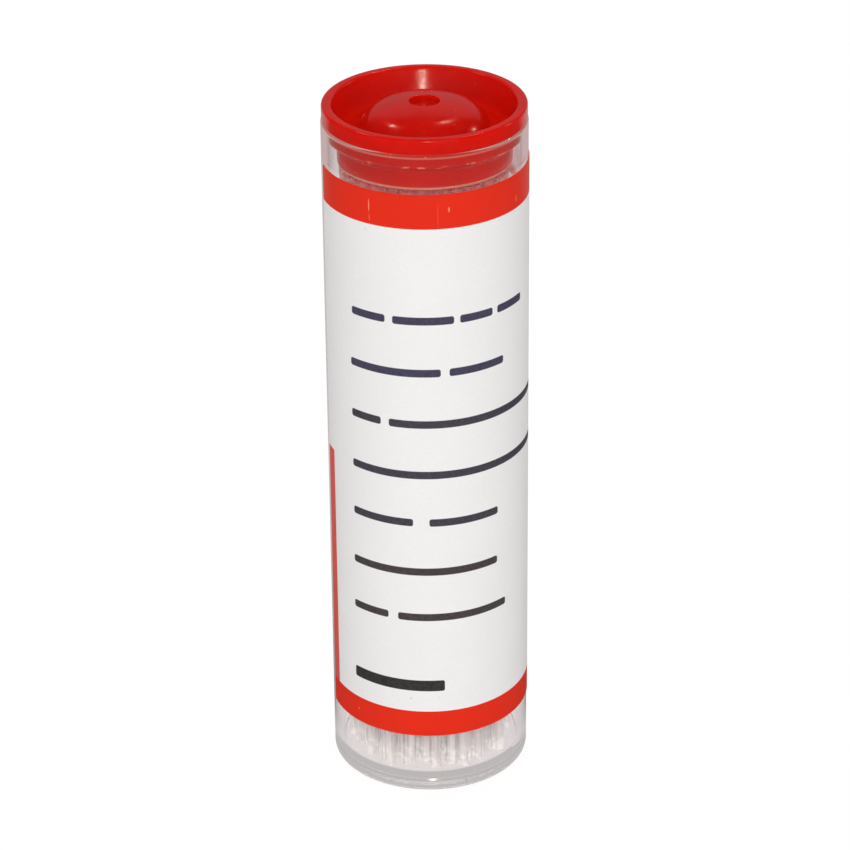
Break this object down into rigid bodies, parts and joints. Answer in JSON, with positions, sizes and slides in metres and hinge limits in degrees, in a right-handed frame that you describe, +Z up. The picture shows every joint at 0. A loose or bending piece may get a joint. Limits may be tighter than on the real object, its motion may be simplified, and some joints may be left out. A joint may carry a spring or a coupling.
{
  "type": "vial of glass capillary tubes",
  "caption": "Clear plastic vial with a red push-in stopper and a wrapped paper label, holding a loose bundle of thin straight glass capillary tubes.",
  "frame": {"origin": "centre of the foot ring's standing plane, on the vial's axis", "axes": "+Z up along the vial's axis towards the stopper, -Y towards the front of the label"},
  "size_m": [0.0239, 0.024, 0.0858],
  "materials": {
    "clear_plastic": "clear moulded polystyrene, glossy",
    "red_plastic": "glossy moulded polyethylene",
    "label_paper": "satin coated paper with red and dark print",
    "tube_glass": "clear drawn glass"
  },
  "bodies": {
    "vial": {"vial": "clear_plastic", "label": "label_paper", "capillary_tubes": "tube_glass"},
    "stopper": {"stopper": "red_plastic"}
  },
  "joints": [
    {"name": "stopper_pull", "type": "slide", "parent": "vial", "child": "stopper", "axis": [0, 0, 1], "range_m": [0, 0.012]}
  ]
}
